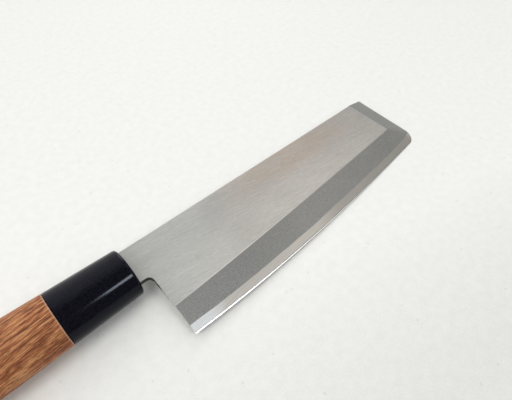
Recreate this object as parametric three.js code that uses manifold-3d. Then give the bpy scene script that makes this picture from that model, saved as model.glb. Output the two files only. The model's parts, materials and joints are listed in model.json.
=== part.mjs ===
// Single-bevel vegetable knife with an oval wooden handle, lying on its side.
// Millimetres. The knife is drawn straight, in its own frame: X runs from the ferrule's mouth
// to the tip, Y towards the spine and Z out of the bevelled face, with the handle's axis as X.
// The last section lays it down on its ferrule and the corner of its tip.

import * as THREE from "three";
import { mergeVertices } from "three/addons/utils/BufferGeometryUtils.js";
import Module from "manifold-3d";

const wasm = await Module();
wasm.setup();

// Blade: outline
const blade_length = 163.6; // along the spine, from the heel line to the tip
const tip_overhang = 4.6; // how far the edge's end of the tip reaches past the spine's end
const neck_length = 5.35; // from the ferrule's mouth to the heel line
const spine_height = 9.4; // spine above the handle's axis
const neck_depth = 7.6; // underside of the neck below the axis
const notch_radius = 2.6; // round root between the neck and the heel line
const heel_edge_depth = 38.1; // edge below the axis at the heel
const tip_edge_depth = 31.1; // edge below the axis at the tip
const belly_drop = 3.3; // how far the edge curve's handle point lies below the heel
const belly_share = 0.367; // place of that point along the edge
const tip_corner_radius = 7.4; // round corner between the edge and the tip
const spine_corner_radius = 0.9; // eased corner between the spine and the tip

// Blade: ground faces
const heel_thickness = 3.0;
const tip_thickness = 2.8;
const ridge_heel_depth = 24.55; // ridge above the wide bevel, below the axis at the heel
const ridge_tip_depth = 17.3; // the same ridge where it turns up along the tip
const ridge_sag = 1.4; // how far the ridge curve's handle point lies off its chord, towards the edge
const ridge_sag_share = 0.31; // place of that point along the ridge
const ridge_corner_radius = 0.5; // the ridge's turn at the tip is nearly sharp
const tip_bevel_width = 11.7; // bevel along the tip, at the spine
const tip_bevel_inner_width = 10.8; // the same bevel beside the ridge's turn
const edge_land = 0.12; // thickness left at the very edge
const front_land = 0.3; // thickness left along the front of the tip
const micro_bevel_width = 1.1; // final bevel along the edge, at the heel
const micro_bevel_tip_width = 0.5;
const micro_bevel_rise = 0.44; // height of the final bevel at the heel
const spine_ease = 0.3; // chamfer along both edges of the spine

// Blade: hollow-ground back
const hollow_depth = 0.35;
const hollow_spine_rim = 3.2; // flat left along the spine
const hollow_edge_rim = 2.4; // flat left along the edge
const hollow_end_rim = 6.0; // flat left at the heel and at the tip
const hollow_squareness = 3.4; // power of the rounded rectangle that the hollow follows

// Tang
const tang_length = 96; // behind the ferrule's mouth
const tang_height = 12;
const tang_end_height = 5;
const tang_thickness = 2.6;
const tang_end_thickness = 1.8;
const tang_point = 4; // length of the tang's pointed end
const tang_point_share = 0.35; // height left at the very end of the point
const tang_root = 2; // how far the tang is rooted inside the neck

// Ferrule
const ferrule_length = 31;
const mouth_width = 22.5; // across the oval at the mouth, spine side to edge side
const joint_width = 24.1; // the same at the wood
const oval_share = 0.83; // thickness of the oval over its width
const rim_radius = 1.4; // rounded rim of the mouth
const joint_ease = 0.25; // broken edge at the wood
const ferrule_wall = 1.7;
const mouth_wall = 2.6; // thickness of the ferrule's end wall

// Mouth seal
const seal_width = 0.9; // ring of resin between the tang and the ferrule's slot
const seal_recess = 0.3; // how far it stays below the ferrule's end face
const slot_corner_radius = 1.1;

// Handle
const wood_length = 96; // behind the ferrule
const butt_width = 26.8;
const butt_radius = 2.6; // rounded edge of the butt
const flare_bow = 0.35; // how far the side bows out between the joint and the butt
const tenon_ease = 0.6; // chamfer on the tenon's end

// Fits
const fit_gap = 0.2; // clearance between glued pieces
const overrun = 3; // how far cutters run past what they cut
const ridge_overlap = 0.02; // how far the bevel cutter rises through the flat

// Roundness
const oval_steps = 64;
const edge_steps = 28;
const corner_steps = 12;
const rim_steps = 6;
const butt_steps = 7;
const flare_steps = 8;
const hollow_steps = 44;
const hollow_ring_shares = [1.04, 0.94, 0.82, 0.66, 0.46, 0.22];

// Sizes that follow from those above
const heel_x = neck_length;
const spine_tip = new THREE.Vector2(heel_x + blade_length, spine_height);
const edge_tip = new THREE.Vector2(spine_tip.x + tip_overhang, -tip_edge_depth);
const edge_heel = new THREE.Vector2(heel_x, -heel_edge_depth);
const ridge_heel = new THREE.Vector2(heel_x, -ridge_heel_depth);
const ridge_spine = new THREE.Vector2(spine_tip.x - tip_bevel_width, spine_height);
const back_z = -heel_thickness / 2;
const tang_middle = (spine_height - neck_depth) / 2;
const mouth_radius = mouth_width / 2;
const joint_radius = joint_width / 2;
const butt_half = butt_width / 2;

// X on the front of the tip at a height y, and X of the ridge's turn beside it
function frontX(y) {
  const share = (spine_height - y) / (spine_height + tip_edge_depth);
  return spine_tip.x + tip_overhang * share;
}
const ridge_turn = new THREE.Vector2(frontX(-ridge_tip_depth) - tip_bevel_inner_width, -ridge_tip_depth);

// Z of the blade's flat at x, thinner towards the tip
function flatZ(x) {
  const share = (x - heel_x) / blade_length;
  return back_z + heel_thickness - (heel_thickness - tip_thickness) * share;
}

// A mesh from points and triangles, with its faces turned outwards
function shell(points, faces) {
  const corner = (i) => points[faces[i]];
  let volume = 0;
  for (let i = 0; i < faces.length; i += 3) {
    volume += corner(i).clone().cross(corner(i + 1)).dot(corner(i + 2));
  }
  const turned = [];
  for (let i = 0; i < faces.length; i += 3) {
    const [a, b, c] = faces.slice(i, i + 3);
    turned.push(...(volume < 0 ? [a, c, b] : [a, b, c]));
  }
  const geometry = new THREE.BufferGeometry();
  geometry.setFromPoints(points);
  geometry.setIndex(turned);
  return geometry;
}

// A closed skin through loops of points, each end closed by a fan from one point of its loop
function loft(loops, fan = 0) {
  const count = loops[0].length;
  const last = (loops.length - 1) * count;
  const faces = [];
  for (let k = 0; k < last; k += count) {
    for (let i = 0; i < count; i += 1) {
      const j = (i + 1) % count;
      faces.push(k + i, k + j, k + count + j);
      faces.push(k + i, k + count + j, k + count + i);
    }
  }
  for (let i = 1; i < count - 1; i += 1) {
    const b = (fan + i) % count;
    const c = (fan + i + 1) % count;
    faces.push(fan, c, b);
    faces.push(last + fan, last + b, last + c);
  }
  return shell(loops.flat(), faces);
}

// A closed geometry as a solid that can be joined and cut
function solidOf(geometry) {
  const bare = geometry.clone();
  bare.deleteAttribute("normal");
  bare.deleteAttribute("uv");
  const merged = mergeVertices(bare);
  const index = merged.index.array;
  const kept = [];
  for (let i = 0; i < index.length; i += 3) {
    const [a, b, c] = index.slice(i, i + 3);
    if (a !== b && b !== c && c !== a) kept.push(a, b, c);
  }
  return new wasm.Manifold(new wasm.Mesh({
    numProp: 3,
    vertProperties: merged.attributes.position.array,
    triVerts: Uint32Array.from(kept),
  }));
}

// The geometry of a solid
function geometryOf(solid) {
  const mesh = solid.getMesh();
  const geometry = new THREE.BufferGeometry();
  geometry.setAttribute("position", new THREE.BufferAttribute(mesh.vertProperties, 3));
  geometry.setIndex(new THREE.BufferAttribute(mesh.triVerts, 1));
  const flat = geometry.toNonIndexed();
  flat.computeVertexNormals();
  return flat;
}

// An outline in the XY plane, extruded from one height to another
function plate(points, low, high) {
  const depth = high - low;
  const geometry = new THREE.ExtrudeGeometry(new THREE.Shape(points), { depth, bevelEnabled: false });
  geometry.translate(0, 0, low);
  return solidOf(geometry);
}

// An outline in the YZ plane, extruded along X from one place to another
function bar(points, rear, front) {
  const at = (x) => points.map((p) => new THREE.Vector3(x, p.x, p.y));
  return solidOf(loft([at(rear), at(front)]));
}

// An oval body turned on X from a profile of (radius, x) points and flattened along Z
function ovalBody(profile) {
  const geometry = new THREE.LatheGeometry(profile, oval_steps);
  geometry.rotateZ(-Math.PI / 2);
  geometry.scale(1, 1, oval_share);
  const index = Array.from(geometry.index.array);
  const position = geometry.attributes.position;
  const points = [];
  for (let i = 0; i < position.count; i += 1) {
    points.push(new THREE.Vector3().fromBufferAttribute(position, i));
  }
  return solidOf(shell(points, index));
}

// The arc that rounds a corner between two straight runs
function roundedCorner(before, corner, after, radius, steps) {
  const back = before.clone().sub(corner).normalize();
  const on = after.clone().sub(corner).normalize();
  const half = Math.acos(back.dot(on)) / 2;
  const reach = radius / Math.tan(half);
  const middle = back.clone().add(on).normalize();
  const centre = corner.clone().addScaledVector(middle, radius / Math.sin(half));
  const start = corner.clone().addScaledVector(back, reach).sub(centre).angle();
  const end = corner.clone().addScaledVector(on, reach).sub(centre).angle();
  const turn = Math.atan2(Math.sin(end - start), Math.cos(end - start));
  const points = [];
  for (let i = 0; i <= steps; i += 1) {
    const angle = start + turn * i / steps;
    points.push(new THREE.Vector2(Math.cos(angle), Math.sin(angle)).multiplyScalar(radius).add(centre));
  }
  return { points, centre, reach };
}

// Part of a quadratic curve, from its start to the place where a rounded corner takes over
function curveUpTo(curve, reach, steps) {
  const pace = curve.v2.distanceTo(curve.v1) * 2;
  const end = 1 - reach / pace;
  const points = [];
  for (let i = 0; i <= steps; i += 1) points.push(curve.getPoint(end * i / steps));
  return points;
}

// The edge: a shallow curve from the heel, then the round corner up into the front of the tip
const edge_handle = new THREE.Vector2(
  heel_x + (edge_tip.x - heel_x) * belly_share,
  -heel_edge_depth - belly_drop,
);
const edge_curve = new THREE.QuadraticBezierCurve(edge_heel, edge_handle, edge_tip);
const tip_corner = roundedCorner(edge_handle, edge_tip, spine_tip, tip_corner_radius, corner_steps);
const edge_points = curveUpTo(edge_curve, tip_corner.reach, edge_steps);

// The ridge: along the blade, round its turn and up to the spine
const ridge_handle = new THREE.Vector2(
  heel_x + (ridge_turn.x - heel_x) * ridge_sag_share,
  ridge_heel.y + (ridge_turn.y - ridge_heel.y) * ridge_sag_share - ridge_sag,
);
const ridge_curve = new THREE.QuadraticBezierCurve(ridge_heel, ridge_handle, ridge_turn);
const ridge_corner = roundedCorner(ridge_handle, ridge_turn, ridge_spine, ridge_corner_radius, corner_steps);
const ridge_points = curveUpTo(ridge_curve, ridge_corner.reach, edge_steps);

// The plan of the blade with its neck, from the ferrule's mouth and back to it
function bladeOutline() {
  const mouth = fit_gap;
  const under_mouth = new THREE.Vector2(mouth, -neck_depth);
  const over_mouth = new THREE.Vector2(mouth, spine_height);
  const root = new THREE.Vector2(heel_x, -neck_depth);
  const notch = roundedCorner(under_mouth, root, edge_heel, notch_radius, corner_steps);
  const spine_end = roundedCorner(edge_tip, spine_tip, over_mouth, spine_corner_radius, rim_steps);
  return [
    under_mouth,
    ...notch.points,
    ...edge_points,
    ...tip_corner.points.slice(1),
    ...spine_end.points,
    over_mouth,
  ];
}

// One section of the tool that grinds the bevels, square across from the ridge to the edge
function grindSection(inner, outer, width, rise, land) {
  const top = flatZ(inner.x);
  const out = outer.clone().sub(inner).normalize();
  const ridge = new THREE.Vector3(inner.x, inner.y, top);
  const shoulder = outer.clone().addScaledVector(out, -width);
  const foot = new THREE.Vector3(shoulder.x, shoulder.y, back_z + land + rise);
  const above = ridge.clone().sub(foot);
  ridge.addScaledVector(above, ridge_overlap / above.z);
  const past = outer.clone().addScaledVector(out, overrun);
  const beyond = new THREE.Vector3(past.x, past.y, back_z + land - rise * overrun / width);
  const high = back_z + heel_thickness + overrun;
  const over_beyond = new THREE.Vector3(past.x, past.y, high);
  const over_ridge = new THREE.Vector3(ridge.x, ridge.y, high);
  return [ridge, foot, beyond, over_beyond, over_ridge];
}

// Everything that is ground off the bevelled side: the wide bevel, its turn and the tip's bevel
function grindTool() {
  const narrow = micro_bevel_tip_width / micro_bevel_width;
  const front_rise = micro_bevel_rise * narrow;
  const sections = [];
  const along = (from, to, share) => from.clone().lerp(to, share);
  const runOff = (from, to) => to.clone().add(to.clone().sub(from).setLength(overrun));

  const inner_run = [runOff(ridge_points[1], ridge_points[0]), ...ridge_points];
  const outer_run = [runOff(edge_points[1], edge_points[0]), ...edge_points];
  for (let i = 0; i < inner_run.length; i += 1) {
    const share = Math.max(0, i - 1) / edge_steps;
    const width = THREE.MathUtils.lerp(micro_bevel_width, micro_bevel_tip_width, share);
    const rise = THREE.MathUtils.lerp(micro_bevel_rise, front_rise, share);
    sections.push(grindSection(inner_run[i], outer_run[i], width, rise, edge_land));
  }
  for (let i = 1; i <= corner_steps; i += 1) {
    const land = THREE.MathUtils.lerp(edge_land, front_land, i / corner_steps);
    const inner = ridge_corner.points[i];
    sections.push(grindSection(inner, tip_corner.points[i], micro_bevel_tip_width, front_rise, land));
  }
  const inner_end = runOff(ridge_corner.points.at(-1), ridge_spine);
  const outer_end = runOff(tip_corner.points.at(-1), spine_tip);
  for (const share of [0.5, 1]) {
    const inner = along(ridge_corner.points.at(-1), inner_end, share);
    const outer = along(tip_corner.points.at(-1), outer_end, share);
    sections.push(grindSection(inner, outer, micro_bevel_tip_width, front_rise, front_land));
  }
  return solidOf(loft(sections, 1));
}

// A thin wedge off the whole flat, so that the blade gets thinner towards the tip
function taperTool() {
  const rear = heel_x;
  const front = edge_tip.x + overrun;
  const high = flatZ(rear) + overrun;
  const across = (y) => [
    new THREE.Vector3(rear, y, flatZ(rear)),
    new THREE.Vector3(front, y, flatZ(front)),
    new THREE.Vector3(front, y, high),
    new THREE.Vector3(rear, y, high),
  ];
  return solidOf(loft([across(-heel_edge_depth - belly_drop - overrun), across(spine_height + overrun)]));
}

// The two long chamfers that ease the spine
function spineTools() {
  const corner = (y, z) => new THREE.Vector2(spine_height + y, z);
  const chamfer = (z, side) => bar([
    corner(-spine_ease, z + side * overrun),
    corner(-spine_ease, z),
    corner(0, z - side * spine_ease),
    corner(overrun, z - side * spine_ease),
    corner(overrun, z + side * overrun),
  ], -overrun, edge_tip.x + overrun);
  return [chamfer(back_z + heel_thickness, 1), chamfer(back_z, -1)];
}

// The dished hollow in the back, deepest in its middle, with a flat rim all round
function hollowTool() {
  const rear = heel_x + hollow_end_rim;
  const front = ridge_turn.x + tip_bevel_inner_width - hollow_end_rim;
  const middle_x = (rear + front) / 2;
  const half_x = (front - rear) / 2;
  const top = spine_height - hollow_spine_rim;
  const power = 2 / hollow_squareness;
  const rounded = (value) => Math.sign(value) * Math.abs(value) ** power;
  const lowY = (x) => {
    const i = edge_points.findIndex((p) => p.x >= x);
    if (i < 1) return edge_points.at(i < 0 ? -1 : 0).y + hollow_edge_rim;
    const a = edge_points[i - 1];
    const b = edge_points[i];
    return THREE.MathUtils.mapLinear(x, a.x, b.x, a.y, b.y) + hollow_edge_rim;
  };
  const ring = (share, z) => {
    const points = [];
    for (let i = 0; i < hollow_steps; i += 1) {
      const angle = 2 * Math.PI * i / hollow_steps;
      const x = middle_x + half_x * share * rounded(Math.cos(angle));
      const low = lowY(x);
      const y = (top + low) / 2 + (top - low) / 2 * share * rounded(Math.sin(angle));
      points.push(new THREE.Vector3(x, y, z));
    }
    return points;
  };
  const rings = hollow_ring_shares.map((share) => ring(share, back_z + hollow_depth * (1 - share ** 2)));
  return solidOf(loft([ring(hollow_ring_shares[0], back_z - overrun), ...rings]));
}

// The tang, or the hole that takes it: a flat bar tapering to a point, grown by a clearance
function tangBody(rear, front, clearance) {
  const section = (x) => {
    const share = THREE.MathUtils.clamp(-x / tang_length, 0, 1);
    const point = THREE.MathUtils.clamp((tang_length + x) / tang_point, 0, 1);
    const height = THREE.MathUtils.lerp(tang_height, tang_end_height, share);
    const half_y = height / 2 * THREE.MathUtils.lerp(tang_point_share, 1, point) + clearance;
    const half_z = THREE.MathUtils.lerp(tang_thickness, tang_end_thickness, share) / 2 + clearance;
    const y = tang_middle * (1 - share);
    return [[-1, -1], [1, -1], [1, 1], [-1, 1]].map(
      ([side_y, side_z]) => new THREE.Vector3(x, y + side_y * half_y, side_z * half_z),
    );
  };
  const shoulder = -tang_length + tang_point;
  return solidOf(loft([section(rear), section(shoulder), section(0), section(front)]));
}

function bladeGeometry() {
  let blade = plate(bladeOutline(), back_z, back_z + heel_thickness);
  for (const tool of [taperTool(), grindTool(), ...spineTools(), hollowTool()]) {
    blade = blade.subtract(tool);
  }
  blade = blade.add(tangBody(-tang_length, fit_gap + tang_root, 0));
  return geometryOf(blade);
}

// The slot in the ferrule's end wall, with rounded corners, grown or shrunk by a clearance
function slotOutline(clearance) {
  const half_y = tang_height / 2 + clearance;
  const half_z = tang_thickness / 2 + clearance;
  const corner = (side_y, side_z) => new THREE.Vector2(tang_middle + side_y * half_y, side_z * half_z);
  const corners = [corner(-1, -1), corner(1, -1), corner(1, 1), corner(-1, 1)];
  const radius = Math.min(slot_corner_radius, clearance);
  return corners.flatMap((at, i) => {
    const before = corners[(i + 3) % 4];
    const after = corners[(i + 1) % 4];
    return roundedCorner(before, at, after, radius, rim_steps).points;
  });
}
const slot_clearance = seal_width + fit_gap * 2;

// Radius of the ferrule's outside, and of its bore, at a distance behind the mouth
function ferruleRadius(behind) {
  return THREE.MathUtils.lerp(mouth_radius, joint_radius, behind / ferrule_length);
}
function boreRadius(behind) {
  return ferruleRadius(behind) - ferrule_wall;
}

function ferruleGeometry() {
  const rim_centre_radius = ferruleRadius(rim_radius) - rim_radius;
  const profile = [new THREE.Vector2(0, 0)];
  for (let i = 0; i <= rim_steps; i += 1) {
    const angle = Math.PI / 2 * i / rim_steps;
    const radius = rim_centre_radius + rim_radius * Math.sin(angle);
    profile.push(new THREE.Vector2(radius, -rim_radius + rim_radius * Math.cos(angle)));
  }
  profile.push(new THREE.Vector2(ferruleRadius(ferrule_length - joint_ease), joint_ease - ferrule_length));
  profile.push(new THREE.Vector2(joint_radius - joint_ease, -ferrule_length));
  profile.push(new THREE.Vector2(boreRadius(ferrule_length), -ferrule_length));
  profile.push(new THREE.Vector2(boreRadius(mouth_wall), -mouth_wall));
  profile.push(new THREE.Vector2(0, -mouth_wall));
  const slot = bar(slotOutline(slot_clearance), -mouth_wall - overrun, overrun);
  return geometryOf(ovalBody(profile).subtract(slot));
}

// The ring of resin that closes the mouth round the tang
function sealGeometry() {
  const front = -seal_recess;
  const rear = fit_gap - mouth_wall;
  const outer = bar(slotOutline(slot_clearance - fit_gap), rear, front);
  const inner = tangBody(-tang_length, overrun, fit_gap);
  return geometryOf(outer.subtract(inner));
}

// The handle turned from one piece: the tenon inside the ferrule, the flared grip and the butt
function handleGeometry() {
  const start = -mouth_wall - fit_gap;
  const shoulder = -ferrule_length - fit_gap;
  const butt = -ferrule_length - wood_length;
  const butt_centre = butt + butt_radius;
  const side_length = shoulder - butt_centre;
  const tenonRadius = (x) => boreRadius(-x) - fit_gap;
  const profile = [
    new THREE.Vector2(0, start),
    new THREE.Vector2(tenonRadius(start) - tenon_ease, start),
    new THREE.Vector2(tenonRadius(start - tenon_ease), start - tenon_ease),
    new THREE.Vector2(tenonRadius(shoulder), shoulder),
  ];
  for (let i = 0; i <= flare_steps; i += 1) {
    const share = i / flare_steps;
    const bow = flare_bow * Math.sin(Math.PI * share);
    const radius = THREE.MathUtils.lerp(joint_radius, butt_half, share) + bow;
    profile.push(new THREE.Vector2(radius, shoulder - side_length * share));
  }
  for (let i = 1; i <= butt_steps; i += 1) {
    const angle = Math.PI / 2 * i / butt_steps;
    const radius = butt_half - butt_radius + butt_radius * Math.cos(angle);
    profile.push(new THREE.Vector2(radius, butt_centre - butt_radius * Math.sin(angle)));
  }
  profile.push(new THREE.Vector2(0, butt));
  const hole = tangBody(-tang_length - tang_root, overrun, fit_gap);
  return geometryOf(ovalBody(profile).subtract(hole));
}

// Finishes
const steel = new THREE.MeshStandardMaterial({ color: 0xb5b4ad, metalness: 1, roughness: 0.38 });
const resin = new THREE.MeshStandardMaterial({ color: 0x131318, metalness: 0, roughness: 0.3 });
const seal = new THREE.MeshStandardMaterial({ color: 0x3a342c, metalness: 0, roughness: 0.55 });
const wood = new THREE.MeshStandardMaterial({ color: 0xa0683f, metalness: 0, roughness: 0.6 });

// The knife, straight, with each piece named
const knife = new THREE.Group();
function addPiece(name, geometry, material) {
  const mesh = new THREE.Mesh(geometry, material);
  mesh.name = name;
  knife.add(mesh);
}
addPiece("blade", bladeGeometry(), steel);
addPiece("ferrule", ferruleGeometry(), resin);
addPiece("mouth_seal", sealGeometry(), seal);
addPiece("wooden_handle", handleGeometry(), wood);

// The normal of the plane that the knife lies on. It touches the ferrule's two rims, which are
// ovals, and the round corner of the tip, so its two slopes are found by going round a few times.
function restingNormal() {
  const rounds = 60;
  const rim_centre = new THREE.Vector2(-rim_radius, ferruleRadius(rim_radius) - rim_radius);
  let slope_x = 0;
  let slope_y = 0;
  for (let i = 0; i < rounds; i += 1) {
    const oval = Math.hypot(slope_y, oval_share);
    const rim = rim_centre.y * oval + rim_radius * Math.hypot(slope_x, oval);
    slope_x = (joint_radius * oval - rim) / (-ferrule_length - rim_centre.x);
    const reach = tip_corner_radius * Math.hypot(slope_x, slope_y);
    const rear = -ferrule_length * slope_x - joint_radius * oval;
    slope_y = (rear - tip_corner.centre.x * slope_x + reach - back_z) / tip_corner.centre.y;
  }
  return new THREE.Vector3(slope_x, slope_y, 1).normalize();
}

// Laid down, with the length along X and the origin under the middle of the whole
const up = restingNormal();
const length = new THREE.Vector3(1, 0, 0).projectOnPlane(up).normalize();
const across = up.clone().cross(length);
const laid = new THREE.Matrix4().makeBasis(length, across, up).transpose();
knife.quaternion.setFromRotationMatrix(laid);
knife.updateMatrixWorld(true);
const box = new THREE.Box3().setFromObject(knife, true);
const middle = box.getCenter(new THREE.Vector3());
knife.position.set(-middle.x, -middle.y, -box.min.z);

const part = new THREE.Group();
part.add(knife);
part.updateMatrixWorld(true);

export default part;
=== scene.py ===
import json
import math

import bmesh
import bpy
from mathutils import Matrix, Vector
from mathutils.geometry import tessellate_polygon


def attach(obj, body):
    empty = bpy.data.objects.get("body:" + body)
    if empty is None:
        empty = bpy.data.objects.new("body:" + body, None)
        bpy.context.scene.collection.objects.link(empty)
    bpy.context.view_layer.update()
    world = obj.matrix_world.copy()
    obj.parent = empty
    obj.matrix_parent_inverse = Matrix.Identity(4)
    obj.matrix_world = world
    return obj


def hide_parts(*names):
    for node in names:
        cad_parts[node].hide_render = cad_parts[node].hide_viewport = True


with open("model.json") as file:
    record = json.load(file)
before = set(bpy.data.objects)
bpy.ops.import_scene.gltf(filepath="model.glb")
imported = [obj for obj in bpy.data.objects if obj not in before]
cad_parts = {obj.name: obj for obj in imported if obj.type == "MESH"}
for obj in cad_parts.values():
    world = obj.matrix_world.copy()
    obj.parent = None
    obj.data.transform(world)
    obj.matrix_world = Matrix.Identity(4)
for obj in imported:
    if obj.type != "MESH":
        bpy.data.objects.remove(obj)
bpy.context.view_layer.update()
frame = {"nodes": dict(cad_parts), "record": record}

# A single-bevel vegetable knife, lying on its side on a pale table.
# Sizes are millimetres in the knife's own axes: X from the ferrule's mouth to the tip,
# Y towards the spine, Z out of the bevelled face. They are the CAD part's sizes.
MM = 0.001

BLADE_LENGTH = 163.6
TIP_OVERHANG = 4.6
NECK_LENGTH = 5.35
SPINE_HEIGHT = 9.4
NECK_DEPTH = 7.6
NOTCH_RADIUS = 2.6
HEEL_EDGE_DEPTH = 38.1
TIP_EDGE_DEPTH = 31.1
BELLY_DROP = 3.3
BELLY_SHARE = 0.367
TIP_CORNER_RADIUS = 7.4
SPINE_CORNER_RADIUS = 0.9

HEEL_THICKNESS = 3.0
TIP_THICKNESS = 2.8
RIDGE_HEEL_DEPTH = 24.55
RIDGE_TIP_DEPTH = 17.3
RIDGE_SAG = 1.4
RIDGE_SAG_SHARE = 0.31
RIDGE_CORNER_RADIUS = 0.5
TIP_BEVEL_WIDTH = 11.7
TIP_BEVEL_INNER_WIDTH = 10.8
EDGE_LAND = 0.12
FRONT_LAND = 0.3
MICRO_WIDTH = 0.75
MICRO_TIP_WIDTH = 0.5
MICRO_RISE = 0.32
SPINE_EASE = 0.3
SPINE_EASE_LEAD = 1.5
RIDGE_ROUND = 0.28
HONED_LINE = 0.2

# Where the spine's rounded corner cuts the final bevel short, the least share of its width that
# stays, and the largest share of it that the honed line may take
NARROWEST = 0.1
LINE_SHARE = 0.4

HOLLOW_DEPTH = 0.35
HOLLOW_SPINE_RIM = 3.2
HOLLOW_EDGE_RIM = 2.4
HOLLOW_END_RIM = 6.0
HOLLOW_SQUARENESS = 3.4

TANG_LENGTH = 96.0
TANG_HEIGHT = 12.0
TANG_END_HEIGHT = 5.0
TANG_THICKNESS = 2.6
TANG_END_THICKNESS = 1.8
TANG_POINT = 4.0
TANG_POINT_SHARE = 0.35
TANG_ROOT = 2.0

FERRULE_LENGTH = 31.0
MOUTH_WIDTH = 22.5
JOINT_WIDTH = 24.1
OVAL_SHARE = 0.83
RIM_RADIUS = 1.4
JOINT_EASE = 0.25
FERRULE_WALL = 1.7
MOUTH_WALL = 2.6
SEAL_WIDTH = 0.9
SLOT_CORNER_RADIUS = 1.1
FACE_RING_SHARE = 0.55

WOOD_LENGTH = 96.0
BUTT_WIDTH = 26.8
BUTT_RADIUS = 2.6
FLARE_BOW = 0.35
TENON_EASE = 0.6
FIT_GAP = 0.2

# How far the cutting blocks stand out in front
SLOT_LEAD = 2.0
HOLE_LEAD = 3.0

# The record rounds its points to 0.01 mm, and this sets the knife back where its solids lie
ROUNDING = (-0.003, -0.004, 0.004)

BACK_Z = -HEEL_THICKNESS / 2
HEEL_X = NECK_LENGTH
TANG_MIDDLE = (SPINE_HEIGHT - NECK_DEPTH) / 2

# How finely the blade is divided
EDGE_STEPS = 64
CORNER_STEPS = 24
FRONT_STEPS = 16
ARC_STEPS = 16
SPINE_STEPS = 24
BEVEL_ROWS = 5
RIDGE_ROWS = 4
HOLLOW_POINTS = 120
HOLLOW_SHARES = (1, 0.97, 0.93, 0.88, 0.8, 0.7, 0.57, 0.42, 0.25, 0.1)

# How finely the turned pieces and the slot are divided
OVAL_SEGMENTS = 160
RIM_STEPS = 12
SIDE_STEPS = 8
FLARE_STEPS = 24
BUTT_STEPS = 14
SLOT_STEPS = 8

# Points nearer than this are joined, edges shorter than this vanish, and edges that bend more than
# this many degrees are kept crisp
JOIN_WITHIN = 0.002
SLIVER = 0.0005
CREASE = 28

# A rectangle's corners, as shares of its half sizes
RECTANGLE = ((-1, -1), (1, -1), (1, 1), (-1, 1))

# The knife's axes in the row frame, from the two faces that the record names
mounts = {m["name"]: m for m in frame["record"]["mounts"]}
along = -Vector(mounts["butt_face"]["axis"]).normalized()
up = Vector(mounts["blade_flat"]["axis"])
up = (up - along * up.dot(along)).normalized()
across = up.cross(along)
knife_turn = Matrix((along, across, up)).transposed()
mouth = Vector(mounts["butt_face"]["pos_m"]) + along * (FERRULE_LENGTH + WOOD_LENGTH) * MM
mouth += Vector(ROUNDING) * MM
KNIFE = Matrix.Translation(mouth) @ knife_turn.to_4x4() @ Matrix.Scale(MM, 4)


# Nodes and colours

def linear(hex_code):
    """An sRGB hex colour as the linear one that Blender works in."""
    shares = [int(hex_code[i:i + 2], 16) / 255 for i in (1, 3, 5)]
    return (*[c / 12.92 if c <= 0.04045 else ((c + 0.055) / 1.055) ** 2.4 for c in shares], 1.0)


def add(tree, kind, values=None, links=None, stops=None, **settings):
    """Adds one node with its settings, socket values and links, and gives it back."""
    made = tree.nodes.new(kind)
    for name, value in settings.items():
        setattr(made, name, value)
    for socket, value in (values or {}).items():
        made.inputs[socket].default_value = value
    for socket, source in (links or {}).items():
        tree.links.new(source, made.inputs[socket])
    if stops:
        ramp = made.color_ramp
        while len(ramp.elements) < len(stops):
            ramp.elements.new(0.5)
        for element, (place, tone) in zip(ramp.elements, stops):
            element.position = place
            element.color = tone if isinstance(tone, tuple) else (tone, tone, tone, 1)
    return made


def finish_of(name, **constants):
    """A new material with its shader, and the knife's own axes in millimetres to draw it in."""
    made = bpy.data.materials.new(name)
    made.use_nodes = True
    tree = made.node_tree
    shader = tree.nodes["Principled BSDF"]
    for socket, value in constants.items():
        shader.inputs[socket.replace("_", " ")].default_value = value
    place = add(tree, "ShaderNodeTexCoord").outputs["Object"]
    axes = add(tree, "ShaderNodeMapping", vector_type="TEXTURE", links={"Vector": place}, values={
        "Location": mouth, "Rotation": knife_turn.to_euler(), "Scale": (MM, MM, MM)})
    return made, tree, shader, axes.outputs["Vector"]


# The blade's lines

def round_corner(before, corner, after, radius, steps):
    """The arc that rounds a corner, its centre, and how far from the corner it starts."""
    back = (before - corner).normalized()
    on = (after - corner).normalized()
    half = math.acos(back.dot(on)) / 2
    reach = radius / math.tan(half)
    centre = corner + (back + on).normalized() * (radius / math.sin(half))
    first = corner + back * reach - centre
    last = corner + on * reach - centre
    start = math.atan2(first.y, first.x)
    turn = math.atan2(last.y, last.x) - start
    turn = math.atan2(math.sin(turn), math.cos(turn))
    angles = [start + turn * i / steps for i in range(steps + 1)]
    return [centre + Vector((math.cos(a), math.sin(a))) * radius for a in angles], reach


def curve_up_to(start, handle, end, reach, steps):
    """A quadratic curve from its start to the place where a rounded corner takes over."""
    stop = 1 - reach / ((end - handle).length * 2)
    points = []
    for i in range(steps + 1):
        t = stop * i / steps
        points.append(start * (1 - t) ** 2 + handle * 2 * t * (1 - t) + end * t ** 2)
    return points


def flat_z(x):
    """Height of the blade's flat at x. The blade is a little thinner at the tip."""
    share = (x - HEEL_X) / BLADE_LENGTH
    return BACK_Z + HEEL_THICKNESS - (HEEL_THICKNESS - TIP_THICKNESS) * share


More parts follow.
